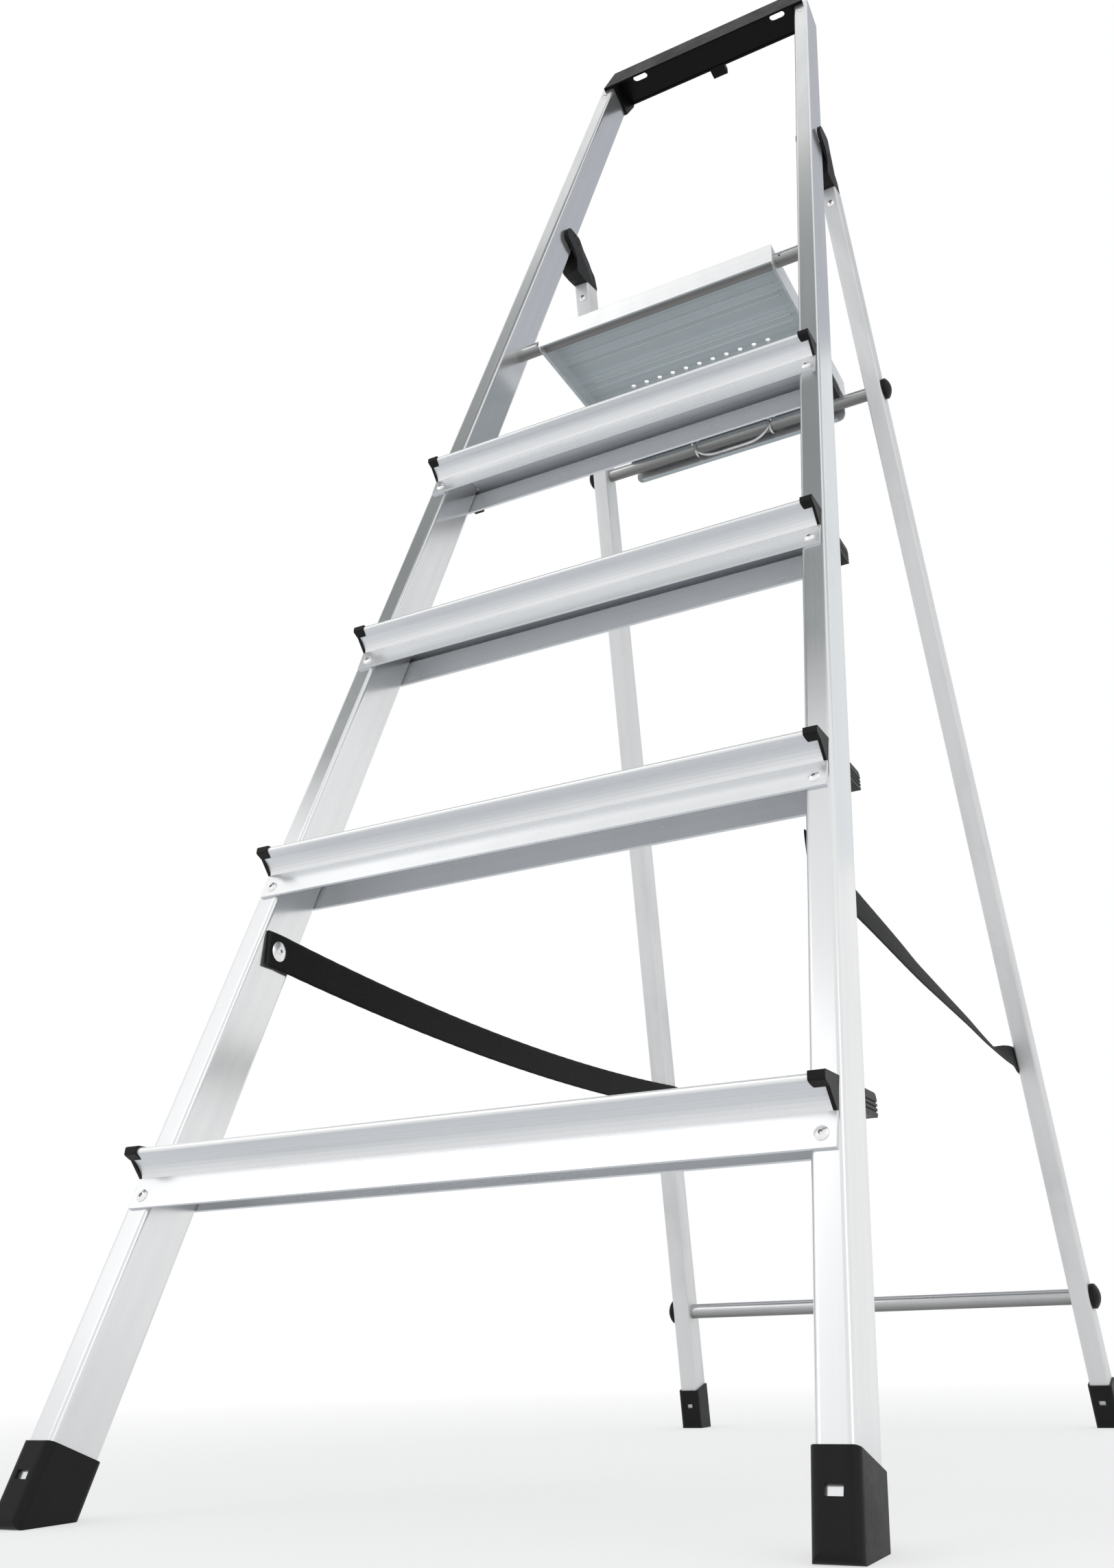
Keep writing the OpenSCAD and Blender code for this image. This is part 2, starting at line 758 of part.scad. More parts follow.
rail_w = platform_w - 5;
rail_corner_r = 8;
rail_lip = 4;
rail_t = 1.6;
rail_low_z = upper_tube[1] - 13.4;
seat_gap = 0.35;
ring_notch = 10;
rail_rivet_count = 4;
rail_rivet_pitch = 64;
rail_rivet_in = 13;

module platform_rear_rail()
    color(aluminium) placed() difference() {
        union() {
            rearward(panel_rear_y, panel_rear_y + rail_t) polygon(rounded([
                [-rail_w / 2, rail_low_z],
                [rail_w / 2, rail_low_z],
                [rail_w / 2, platform_z],
                [-rail_w / 2, platform_z]
            ], [rail_corner_r, rail_corner_r, 0, 0]));
            across(-rail_w / 2 + rail_corner_r, rail_w / 2 - rail_corner_r)
                translate([panel_rear_y - rail_lip, rail_low_z]) square([rail_lip + eps, rail_t]);
            across(-rail_w / 2, rail_w / 2)
                translate([panel_rear_y - 21, panel_low - rail_t]) square([21 + eps, rail_t]);
            across(-rail_w / 2, rail_w / 2)
                translate([panel_rear_y - 19, upper_tube[1] + tube_r + seat_gap]) square([19 + eps, rail_t]);
        }
        for (side = [-1, 1])
            translate([side * latch_ring_x - ring_notch / 2, panel_rear_y - 20, upper_tube[1] + tube_r])
                cube([ring_notch, 19, 4]);
        rail_rivet_places() rivet_hole();
    }

module rail_rivet_places()
    for (i = [0:rail_rivet_count - 1])
        translate([
            (i - (rail_rivet_count - 1) / 2) * rail_rivet_pitch,
            panel_rear_y - rail_rivet_in,
            platform_z
        ]) children();

module rail_rivets() color(aluminium) placed() rail_rivet_places() rivet(3.2, 1.2);

/* Wire latch that hangs on the upper cross tube */

wire_r = 1.5;
ring_w = 3.4;
latch_ring_x = 46;
ring_r = tube_r + run_gap + wire_r;
latch_y = upper_tube[0] - ring_r;
bow_t = 2.4;

// The bow's outer edge, from the middle of its foot to the right ring
bow_edge = [[15.2, -22], [24.5, -21.5], [32, -19.4], [38.2, -15.2], [43, -8.8], [latch_ring_x + wire_r, 0]];

module wire_latch()
    color(tube_metal) placed() translate([0, 0, upper_tube[1]]) {
        for (side = [-1, 1]) on_side(side)
            translate([latch_ring_x - ring_w / 2, upper_tube[0], 0]) rotate([0, 90, 0]) difference() {
                cylinder(r = ring_r + wire_r, h = ring_w);
                translate([0, 0, -1]) cylinder(r = tube_r + run_gap, h = ring_w + 2);
            }
        rearward(latch_y - bow_t / 2, latch_y + bow_t / 2) polygon(sheet(
            concat(
                [for (i = [len(bow_edge) - 1:-1:0]) bow_edge[i]],
                [for (point = bow_edge) [-point[0], point[1]]]
            ),
            2 * wire_r
        ));
    }

/* Top tray */

tray_taper = 14.8 / 53.8;
lip_t = 2.5;
tray_floor_t = 2.5;
sleeve_len = 11;
tray_front_s = stile_top + tray_rise;
tray_z = front_point(tray_front_s, -lip_n)[1];
tray_floor_z = tray_z - tray_rim_h - tray_floor_t;
sleeve_low_s = stile_top - sleeve_len;
tray_rear_y = front_point(stile_top + 20, stile_d)[0] + 13;
sleeve_wall = 2.2;
sleeve_in = stile_in(stile_top) - sleeve_wall;
plug_len = 42;
slot_x = 98;
slot_l = 20;
slot_w = 10.5;
slot_set = 18.3;
tab_w = 20;
tab_l = 13.5;
tab_h = 9;

function tray_edge_x(s) = stile_out(tray_front_s) - tray_corner_in + (tray_front_s - s) * tray_taper;

module tray_front_view(low)
    polygon([
        [-tray_edge_x(low), low],
        [tray_edge_x(low), low],
        [tray_edge_x(tray_front_s + 30), tray_front_s + 30],
        [-tray_edge_x(tray_front_s + 30), tray_front_s + 30]
    ]);

// Side outline of the sleeves, from the lip back to the upright rear edge
module tray_side_view()
    polygon(rounded([
        front_point(sleeve_low_s, -lip_n),
        front_point(sleeve_low_s, stile_d + 0.5),
        [tray_rear_y, tray_z - 13],
        [tray_rear_y, tray_z],
        front_point(tray_front_s, -lip_n)
    ], [1, 1, 2, 0, 2.5]));

module tray_sleeves()
    intersection() {
        front_frame() rearward(-lip_n, far) tray_front_view(sleeve_low_s);
        placed() across(-far, far) tray_side_view();
        for (side = [-1, 1]) on_side(side)
            translate([sleeve_in, -far, 0]) cube([far, 2 * far, 2 * far]);
    }

module top_tray() {
    floor_front_y = front_point(tray_front_s, -lip_n)[0] - 3;
    color(black_plastic) {
        difference() {
            union() {
                tray_sleeves();
                intersection() {
                    front_frame() rearward(-lip_n, -lip_n + lip_t) tray_front_view(sleeve_low_s);
                    placed() across(-far, far) polygon([
                        front_point(sleeve_low_s, -lip_n - 10), front_point(sleeve_low_s, 20),
                        [tray_rear_y, tray_z], front_point(tray_front_s, -lip_n)
                    ]);
                }
                intersection() {
                    front_frame() rearward(-lip_n, far) tray_front_view(sleeve_low_s);
                    placed() translate([-sleeve_in - eps, floor_front_y, tray_floor_z])
                        cube([2 * sleeve_in + 2 * eps, tray_rear_y - floor_front_y, tray_floor_t]);
                }
                placed() translate([-sleeve_in - eps, tray_rear_y - 3, tray_z - 9])
                    cube([2 * sleeve_in + 2 * eps, 3, 9]);
                placed() translate([-tab_w / 2, tray_rear_y - 1, tray_z - tab_h])
                    cube([tab_w, tab_l + 1, tab_h]);
            }
            for (side = [-1, 1]) on_side(side) {
                stile_bar(0, stile_top);
                placed() translate([slot_x, floor_front_y + slot_set, tray_floor_z - 1])
                    for (end = [-1, 1]) translate([end * (slot_l - slot_w) / 2, 0, 0])
                        cylinder(r = slot_w / 2, h = tray_floor_t + 2);
                placed() translate([
                    slot_x - (slot_l - slot_w) / 2, floor_front_y + slot_set - slot_w / 2, tray_floor_z - 1
                ]) cube([slot_l - slot_w, slot_w, tray_floor_t + 2]);
            }
        }
        for (side = [-1, 1]) on_side(side) difference() {
            stile_bar(stile_top - plug_len, stile_top + eps, -stile_wall);
            tray_rivet_place() rivet_hole();
        }
    }
}

tray_rivet_drop = 30;
tray_rivet_s = stile_top - tray_rivet_drop;

module tray_rivet_place()
    front_frame() translate([stile_out(tray_rivet_s) - stile_w / 2, 0, tray_rivet_s]) rotate([90, 0, 0])
        children();

module tray_rivets()
    color(aluminium) for (side = [-1, 1]) on_side(side) tray_rivet_place() rivet();

/* Straps */

strap_front_n = 18.9;
strap_rear_u = leg_set + 14;
strap_tail = 12;
strap_stand = 1.05;
strap_hole_gap = 0.3;
strap_front = front_point(strap_front_s, strap_front_n);
strap_rear = rear_point(strap_rear_u, -strap_rear_drop);
strap_front_x = stile_in(strap_front_s);
strap_rear_x = leg_in(-strap_rear_drop);
strap_run = strap_rear[0] - strap_front[0];
strap_turn = atan((strap_front_x - strap_rear_x) / strap_run);

// Height of the strap's middle line, from the front rivet at 0 to the rear one at strap_run
function strap_z(y) =
    let (k = y / strap_run)
    strap_front[1] + (strap_rear[1] - strap_front[1]) * k
        - (k > 0 && k < 1 ? 4 * strap_sag * k * (1 - k) : 0);

module strap(side)
    color(webbing) on_side(side) placed()
        translate([strap_front_x - strap_stand, strap_front[0], 0]) rotate([0, 0, strap_turn])
            across(-strap_t, 0) difference() {
                ys = [-strap_tail, for (k = [0:16]) strap_run * k / 16, strap_run + strap_tail];
                polygon(concat(
                    [for (y = ys) [y, strap_z(y) - strap_w / 2]],
                    [for (i = [len(ys) - 1:-1:0]) [ys[i], strap_z(ys[i]) + strap_w / 2]]
                ));
                translate([0, strap_front[1]]) circle(r = rivet_shank_r + strap_hole_gap);
                translate([strap_run, strap_rear[1]]) circle(r = rivet_shank_r + strap_hole_gap);
            }

module strap_rivet_front_place()
    placed() translate([strap_front_x, strap_front[0], strap_front[1]]) rotate([0, -90, 0])
        translate([0, 0, strap_stand + strap_t + 0.2]) children();

module strap_rivet_rear_place()
    placed() translate([strap_rear_x, strap_rear[0], strap_rear[1]]) rotate([0, -90, 0])
        translate([0, 0, strap_stand + strap_t + 0.2]) children();

module strap_rivets(front)
    color(aluminium) for (side = [-1, 1]) on_side(side)
        if (front) strap_rivet_front_place() rivet(strap_rivet_head_r, strap_rivet_head_h);
        else strap_rivet_rear_place() rivet(strap_rivet_head_r, strap_rivet_head_h);

stile(-1);  // stile_left
stile(1);  // stile_right
step(1);  // step_1
step(2);  // step_2
step(3);  // step_3
step(4);  // step_4
step_caps(-1, true);  // front_caps_left
step_caps(1, true);  // front_caps_right
step_caps(-1, false);  // rear_caps_left
step_caps(1, false);  // rear_caps_right
step_rivets();
top_tray();
tray_rivets();
front_foot(-1);  // front_foot_left
front_foot(1);  // front_foot_right
platform_tube();
hinge_pin(-1);  // hinge_pin_left
hinge_pin(1);  // hinge_pin_right
strap(-1);  // strap_left
strap(1);  // strap_right
strap_rivets(true);  // strap_rivets_front
hinge_fork(-1);  // hinge_fork_left
hinge_fork(1);  // hinge_fork_right
rear_leg(-1);  // rear_leg_left
rear_leg(1);  // rear_leg_right
cross_tube(upper_tube, upper_tube_drop);  // upper_rear_tube
cross_tube(lower_tube, lower_tube_drop);  // lower_rear_tube
tube_caps();
fork_rivets();
rear_foot(-1);  // rear_foot_left
rear_foot(1);  // rear_foot_right
strap_rivets(false);  // strap_rivets_rear
platform_tray();
platform_rear_rail();
rail_rivets();
wire_latch();
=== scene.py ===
import json
import math

import bpy
from mathutils import Matrix, Vector


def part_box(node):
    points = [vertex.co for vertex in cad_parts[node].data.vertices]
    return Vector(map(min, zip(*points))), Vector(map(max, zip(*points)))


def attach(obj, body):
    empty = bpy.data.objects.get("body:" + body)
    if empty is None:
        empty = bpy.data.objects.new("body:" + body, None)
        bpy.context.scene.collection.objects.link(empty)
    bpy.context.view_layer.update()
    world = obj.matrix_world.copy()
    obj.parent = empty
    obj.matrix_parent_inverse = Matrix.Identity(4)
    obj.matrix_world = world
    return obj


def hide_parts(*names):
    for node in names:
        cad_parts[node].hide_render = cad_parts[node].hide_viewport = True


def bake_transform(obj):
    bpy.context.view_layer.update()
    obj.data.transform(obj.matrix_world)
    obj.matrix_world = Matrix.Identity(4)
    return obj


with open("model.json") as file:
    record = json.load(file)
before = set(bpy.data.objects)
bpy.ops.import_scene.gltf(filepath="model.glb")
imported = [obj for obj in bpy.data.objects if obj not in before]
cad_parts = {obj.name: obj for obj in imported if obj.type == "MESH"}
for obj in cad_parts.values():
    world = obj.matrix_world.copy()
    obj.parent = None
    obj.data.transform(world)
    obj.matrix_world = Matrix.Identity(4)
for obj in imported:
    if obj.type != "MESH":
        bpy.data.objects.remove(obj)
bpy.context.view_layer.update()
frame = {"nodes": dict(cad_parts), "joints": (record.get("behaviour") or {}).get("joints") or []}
nodes = frame["nodes"]
joints = {joint["name"]: joint for joint in frame["joints"]}

# How far the two frames lean from upright, and how far their bars splay outward
FRONT_LEAN = math.radians(19.92)
REAR_LEAN = math.radians(13.95)
FRONT_SPLAY = math.radians(2.98)
REAR_SPLAY = math.radians(2.35)


def middle(node):
    low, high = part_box(node)
    return (Vector(low) + Vector(high)) / 2


# ---------------------------------------------------------------- node trees


class Tree:
    """A node tree with short ways to add and join nodes."""

    def __init__(self, tree):
        self.tree = tree
        self.tree.nodes.clear()

    def add(self, kind, **values):
        node = self.tree.nodes.new(kind)
        for key, value in values.items():
            setattr(node, key, value)
        return node

    def join(self, a, b):
        self.tree.links.new(a, b)

    def put(self, socket, value):
        if hasattr(value, "is_output"):
            self.join(value, socket)
        else:
            socket.default_value = value

    def maths(self, how, a, b=0.0):
        node = self.add("ShaderNodeMath", operation=how)
        self.put(node.inputs[0], a)
        self.put(node.inputs[1], b)
        return node.outputs[0]

    def mix_shaders(self, share, a, b):
        node = self.add("ShaderNodeMixShader")
        self.put(node.inputs[0], share)
        self.join(a, node.inputs[1])
        self.join(b, node.inputs[2])
        return node.outputs[0]

    def background_rays(self):
        """1 for the rays that should see the white background: camera, mirror and glass rays."""
        paths = self.add("ShaderNodeLightPath")
        seen = self.maths("MAXIMUM", paths.outputs["Is Camera Ray"], paths.outputs["Is Glossy Ray"])
        return self.maths("MAXIMUM", seen, paths.outputs["Is Transmission Ray"])


class Look(Tree):
    """A material with one main shader, and the nodes that its patterns are made of."""

    def __init__(self, name, shader="ShaderNodeBsdfPrincipled"):
        self.material = bpy.data.materials.new(name)
        self.material.use_nodes = True
        super().__init__(self.material.node_tree)
        self.out = self.add("ShaderNodeOutputMaterial")
        self.shader = self.add(shader)
        self.show(self.shader.outputs[0])

    def show(self, surface):
        self.join(surface, self.out.inputs["Surface"])

    def set(self, **values):
        for key, value in values.items():
            self.put(self.shader.inputs[key.replace("_", " ")], value)

    def mapped(self, vector, part, value):
        node = self.add("ShaderNodeMapping")
        node.inputs[part].default_value = value
        self.join(vector, node.inputs["Vector"])
        return node.outputs["Vector"]

    def place(self, scale=(1, 1, 1), turn=(0, 0, 0), source="Object"):
        at = self.add("ShaderNodeTexCoord").outputs[source]
        return self.mapped(self.mapped(at, "Rotation", turn), "Scale", scale)

    def split(self, vector):
        node = self.add("ShaderNodeSeparateXYZ")
        self.join(vector, node.inputs[0])
        return node.outputs

    def bar_place(self, turn, splay):
        """Object coordinates turned about x, with both sides folded together and made upright."""
        split = self.split(self.place(turn=(turn, 0, 0)))
        folded = self.maths("ADD", self.maths("ABSOLUTE", split[0]),
                            self.maths("MULTIPLY", split[2], math.tan(splay)))
        joined = self.add("ShaderNodeCombineXYZ")
        self.join(folded, joined.inputs[0])
        self.join(split[1], joined.inputs[1])
        self.join(split[2], joined.inputs[2])
        return joined.outputs[0]

    def noise(self, vector, detail, rough, warp=0.0, scale=1.0):
        node = self.add("ShaderNodeTexNoise")
        self.join(vector, node.inputs["Vector"])
        node.inputs["Scale"].default_value = scale
        node.inputs["Detail"].default_value = detail
        node.inputs["Roughness"].default_value = rough
        node.inputs["Distortion"].default_value = warp
        return node.outputs["Fac"]

    def lines(self, at, along, across, length, detail, rough):
        """Noise drawn out along one axis: across is its scale over the lines, length along them."""
        scale = tuple(length if i == along else across for i in range(3))
        return self.noise(self.mapped(at, "Scale", scale), detail, rough)

    def spread(self, value, low, high, to_low, to_high):
        """Maps low..high to to_low..to_high, clamped."""
        node = self.add("ShaderNodeMapRange")
        self.join(value, node.inputs["Value"])
        ends = {"From Min": low, "From Max": high, "To Min": to_low, "To Max": to_high}
        for name, end in ends.items():
            node.inputs[name].default_value = end
        return node.outputs["Result"]

    def blend(self, share, a, b, how="MIX"):
        node = self.add("ShaderNodeMix", data_type="RGBA", blend_type=how)
        self.put(node.inputs[0], share)
        self.put(node.inputs[6], a)
        self.put(node.inputs[7], b)
        return node.outputs[2]

    def bump(self, height, depth, strength, normal=None):
        node = self.add("ShaderNodeBump")
        node.inputs["Strength"].default_value = strength
        node.inputs["Distance"].default_value = depth
        self.join(height, node.inputs["Height"])
        if normal is not None:
            self.join(normal, node.inputs["Normal"])
        return node.outputs["Normal"]

    def soft_edge(self, radius):
        node = self.add("ShaderNodeBevel", samples=4)
        node.inputs["Radius"].default_value = radius
        return node.outputs["Normal"]


# ---------------------------------------------------------------- materials

X_AXIS, Z_AXIS = 0, 2
WHITE = (1, 1, 1)


def grey(value, tint=WHITE):
    return (value * tint[0], value * tint[1], value * tint[2], 1)


def drawn_metal(name, along, colour, rough, turn=0.0, splay=0.0, smudge=0.1, line=1.0,
                edge=0.0004, shine=0.85, painted_under_shade=None, reach=None):
    """Extruded or drawn aluminium: fine straight lines along one axis, with faint handling marks.

    turn leans the lines about the x axis and splay spreads them outward on both sides of the part.
    smudge is how much the marks show, line how deep the lines are, shine how metallic it is and
    edge the radius that sharp edges are softened by, in metres. under is a darker colour painted as
    shade on the faces that point at the floor, which are also made less metallic and rougher; it
    comes in over the reach, two heights of the normal.
    """
    look = Look(name)
    at = look.bar_place(turn, splay)
    fine = look.lines(at, along, across=1100, length=0.9, detail=2.0, rough=0.5)
    bands = look.lines(at, along, across=130, length=0.25, detail=3.0, rough=0.55)
    marks = look.noise(look.mapped(at, "Scale", (9, 9, 4)), detail=5.0, rough=0.62, warp=0.8)
    specks = look.noise(look.mapped(at, "Scale", (90, 90, 30)), detail=3.0, rough=0.55)
    banding = look.spread(bands, 0.3, 0.7, 0, 1)
    tone = look.blend(banding, grey(colour * 0.972, (0.988, 1.0, 1.012)), grey(colour * 1.012))
    tone = look.blend(look.spread(marks, 0.45, 0.72, 0, smudge),
                      tone, grey(colour * 0.8, (0.975, 1.0, 1.02)))
    tone = look.blend(look.spread(specks, 0.7, 0.78, 0, 0.4 * smudge), tone, grey(colour * 0.7))
    roughness = look.maths("ADD", look.spread(marks, 0.3, 0.75, rough - 0.04, rough + 0.07),
                           look.spread(fine, 0.3, 0.7, -0.015, 0.015))
    metallic = shine
    if painted_under_shade is not None:
        # Painted shade: faces that point at the floor get the darker under colour, and turn less
        # metallic and rougher
        facing = look.split(look.add("ShaderNodeTexCoord").outputs["Normal"])
        shade_and_dull_underside = look.spread(facing[2], *reach, 0, 1)
        tone = look.blend(shade_and_dull_underside, tone, look.blend(banding, painted_under_shade, grey(0.78, painted_under_shade)))
        metallic = look.spread(shade_and_dull_underside, 0, 1, shine, 0.25)
        roughness = look.maths("ADD", roughness, look.maths("MULTIPLY", shade_and_dull_underside, 0.2))
    normal = look.bump(fine, depth=0.000006 * line, strength=0.3, normal=look.soft_edge(edge))
    look.set(Base_Color=tone, Roughness=roughness, Normal=normal, Metallic=metallic)
    return look.material


def moulded(name, colour, rough, grain=0.00012, dusty=0.0, edge=0.0006, gloss=0.16):
    """Black moulded plastic with a fine grain, scuffed a little paler where it rubs."""
    look = Look(name)
    fine = look.noise(look.place((1500, 1500, 1500)), detail=3.0, rough=0.6)
    cloud = look.noise(look.place((28, 28, 28)), detail=4.0, rough=0.6)
    scratches = look.noise(look.place((60, 420, 190), turn=(0.5, 0.4, 0.3)),
                           detail=5.0, rough=0.7, warp=1.5)
    tone = look.blend(look.spread(cloud, 0.35, 0.7, 0, 1),
                      grey(colour), grey(colour * 1.5, (1.0, 1.0, 1.04)))
    tone = look.blend(look.spread(scratches, 0.66, 0.8, 0, 0.22 + dusty),
                      tone, grey(0.05, (1.0, 0.99, 0.97)))
    roughness = look.maths("ADD", look.spread(cloud, 0.3, 0.7, rough - 0.06, rough + 0.06),
                           look.spread(scratches, 0.5, 0.8, 0.0, 0.12))
    look.set(Base_Color=tone, Roughness=roughness, Specular_IOR_Level=gloss,
             Normal=look.bump(fine, depth=grain, strength=0.5, normal=look.soft_edge(edge)))
    return look.material


def rivet_metal():
    """Bright rivets, their colour darkened in the recess of their heads by occlusion, as painted
    shade.
    """
    look = Look("rivet_aluminium")
    fine = look.noise(look.place((900, 900, 900)), detail=3.0, rough=0.6)
    # Painted shade: occlusion darkens the colour in the recess of each head
    recess_shade = look.add("ShaderNodeAmbientOcclusion", samples=8, only_local=True)
    recess_shade.inputs["Distance"].default_value = 0.0016
    depth = look.spread(recess_shade.outputs["AO"], 0.25, 0.85, 0.06, 1.0)
    tone = look.blend(look.spread(fine, 0.3, 0.7, 0, 1), grey(0.82), grey(0.92))
    tone = look.blend(1.0, tone, depth, "MULTIPLY")
    look.set(Base_Color=tone, Metallic=1.0, Roughness=look.spread(fine, 0.3, 0.7, 0.2, 0.34),
             Normal=look.bump(fine, depth=0.00003, strength=0.5, normal=look.soft_edge(0.0003)))
    return look.material


def wire_metal():
    """Zinc-plated steel."""
    look = Look("zinc_wire")
    fine = look.noise(look.place((700, 700, 700)), detail=3.0, rough=0.6)
    cloud = look.noise(look.place((90, 90, 90)), detail=3.0, rough=0.6)
    tone = look.blend(look.spread(cloud, 0.35, 0.65, 0, 1),
                      grey(0.5, (1, 1, 1.03)), grey(0.68))
    look.set(Base_Color=tone, Metallic=1.0, Roughness=look.spread(fine, 0.3, 0.7, 0.22, 0.4),
             Normal=look.bump(fine, depth=0.00004, strength=0.5))
    return look.material


def webbing_fabric():
    """Flat polyester webbing: a tight twill of ribs over the strap's own length and width."""
    weft_pitch, warp_pitch, twill_slant = 0.0011, 0.0013, 0.55
    look = Look("webbing")
    at = look.place(source="UV")
    run, width, _ = look.split(at)
    slanted = look.maths("ADD", run, look.maths("MULTIPLY", width, twill_slant))
    weft = look.maths("SINE", look.maths("MULTIPLY", slanted, 2 * math.pi / weft_pitch))
    warp = look.maths("SINE", look.maths("MULTIPLY", width, 2 * math.pi / warp_pitch))
    weave = look.maths("ADD", look.maths("MULTIPLY", weft, 0.6), look.maths("MULTIPLY", warp, 0.4))
    fuzz = look.noise(at, detail=3.0, rough=0.7, scale=1800)
    broad = look.noise(at, detail=3.0, rough=0.6, scale=22)
    tone = look.blend(look.spread(weave, -1, 1, 0, 1), grey(0.003), grey(0.008, (1.0, 1.0, 1.06)))
    tone = look.blend(look.spread(broad, 0.35, 0.7, 0, 0.5), tone, grey(0.009, (1, 1, 1.05)))
    height = look.maths("ADD", weave, look.maths("MULTIPLY", fuzz, 0.8))
    look.set(Base_Color=tone, Roughness=look.spread(fuzz, 0.3, 0.7, 0.62, 0.8),
             Normal=look.bump(height, depth=0.00012, strength=0.4),
             Sheen_Weight=0.04, Sheen_Roughness=0.45, Specular_IOR_Level=0.12)
    return look.material


stile_metal = drawn_metal("stile_aluminium", Z_AXIS, colour=0.81, rough=0.19,
                          turn=FRONT_LEAN, splay=FRONT_SPLAY, smudge=0.25)
leg_metal = drawn_metal("leg_aluminium", Z_AXIS, colour=0.77, rough=0.50,
                        turn=-REAR_LEAN, splay=REAR_SPLAY, smudge=0.85, shine=0.45)
# The under colours below are painted shade on faces that point at the floor: a little on the
# treads, more on the platform, and most on the tube, where it paints a dark reflection on the lower
# half
tread_metal = drawn_metal("tread_aluminium", X_AXIS, colour=0.91, rough=0.24,
                          smudge=0.2, edge=0.0003, shine=0.62,
                          painted_under_shade=grey(0.86, (0.97, 1.0, 1.05)), reach=(-0.3, -0.95))
sheet_metal = drawn_metal("platform_aluminium", X_AXIS, colour=0.88, rough=0.34,
                          smudge=0.3, edge=0.0003, shine=0.8,
                          painted_under_shade=grey(0.52, (0.89, 1.0, 1.06)), reach=(-0.3, -0.8))
tube_metal = drawn_metal("tube_aluminium", X_AXIS, colour=0.56, rough=0.2,
                         smudge=0.6, line=0.7, edge=0.0002, shine=0.95,
                         painted_under_shade=grey(0.2, (1.0, 1.0, 0.97)), reach=(0.1, -0.9))
cap_plastic = moulded("cap_plastic", colour=0.007, rough=0.42)
foot_plastic = moulded("foot_plastic", colour=0.008, rough=0.45, dusty=0.2)
tray_plastic = moulded("tray_plastic", colour=0.002, rough=0.34, grain=0.00008, gloss=0.1)
rivet_look = rivet_metal()
wire_look = wire_metal()
webbing_look = webbing_fabric()

# The first key that a node's name starts with gives its material
LOOKS = {
    "stile": stile_metal, "rear_leg": leg_metal, "step_rivets": rivet_look, "step_": tread_metal,
    "front_caps": cap_plastic, "rear_caps": cap_plastic, "top_tray": tray_plastic,
    "front_foot": foot_plastic, "rear_foot": foot_plastic, "platform_tube": tube_metal,
    "upper_rear_tube": tube_metal, "lower_rear_tube": tube_metal, "tube_caps": cap_plastic,
    "hinge_fork": cap_plastic, "hinge_pin": wire_look, "platform_tray": sheet_metal,
    "platform_rear_rail": sheet_metal, "wire_latch": wire_look, "strap_rivets": rivet_look,
    "strap_": webbing_look, "tray_rivets": rivet_look, "fork_rivets": rivet_look,
    "rail_rivets": rivet_look,
}


def dress(node):
    look = next(look for start, look in LOOKS.items() if node.name.startswith(start))
    if not node.material_slots:
        node.data.materials.append(look)
    for slot in node.material_slots:
        slot.material = look


for node in nodes.values():
    dress(node)


# ---------------------------------------------------------------- meshes


def mesh_object(name, vertices, faces, look, smooth=True, uvs=None):
    mesh = bpy.data.meshes.new(name)
    mesh.from_pydata([tuple(v) for v in vertices], [], faces)
    if uvs is not None:
        layer = mesh.uv_layers.new(name="UVMap")
        for loop in mesh.loops:
            layer.data[loop.index].uv = uvs[loop.vertex_index]
    mesh.validate()
    mesh.polygons.foreach_set("use_smooth", [smooth] * len(mesh.polygons))
    mesh.materials.append(look)
    thing = bpy.data.objects.new(name, mesh)
    bpy.context.scene.collection.objects.link(thing)
    return thing


def swept_round(points, radius, sides):
    """Vertices and faces of a round wire along points, with a low cone on each end."""
    vertices, faces = [], []
    tip_rise = 0.6 * radius
    last = len(points) - 1
    tangents = [(points[min(i + 1, last)] - points[max(i - 1, 0)]).normalized()
                for i in range(last + 1)]
    side = tangents[0].orthogonal().normalized()
    for point, tangent in zip(points, tangents):
        side = (side - tangent * side.dot(tangent)).normalized()
        other = tangent.cross(side)
        for k in range(sides):
            a = 2 * math.pi * k / sides
            vertices.append(point + (side * math.cos(a) + other * math.sin(a)) * radius)
    for i in range(last):
        for k in range(sides):
            m = (k + 1) % sides
            faces.append((i * sides + k, i * sides + m, (i + 1) * sides + m, (i + 1) * sides + k))
    for end, step in ((0, -1), (last, 1)):
        vertices.append(points[end] + tangents[end] * step * tip_rise)
        tip = len(vertices) - 1
        for k in range(sides):
            ring = (end * sides + k, end * sides + (k + 1) % sides)
            faces.append((ring[1], ring[0], tip) if step < 0 else (ring[0], ring[1], tip))
    return vertices, faces


def smooth_path(points, per):
    """A Catmull-Rom curve through points, with per steps from each one to the next."""
    out = []
    padded = [points[0]] + list(points) + [points[-1]]
    for i in range(1, len(padded) - 2):
        a, b, c, d = padded[i - 1:i + 3]
        for k in range(per):
            t = k / per
            out.append(0.5 * ((2 * b) + (c - a) * t + (2 * a - 5 * b + 4 * c - d) * t * t
                              + (3 * b - a - 3 * c + d) * t ** 3))
    out.append(points[-1])
    return out


# ---------------------------------------------------------------- straps

STRAP_WIDTH = 0.025
STRAP_THICK = 0.0012
STRAP_TAIL = 0.012  # runs on past each rivet's middle
STRAP_SAG = 0.013
CALM_TURN = 0.10
STRAP_ROWS = 150
STRAP_COLUMNS = 12
SELVEDGE_THINNING = 0.45
CUP_DEPTH = 0.0004
FRAY = 0.00015
FRAY_STEP = 1.7  # radians of the edge's waviness from one row to the next
strap_front_at = middle("strap_rivets_front")
strap_rear_at = middle("strap_rivets_rear")


def unit_clamped(k):
    return min(1, max(0, k))


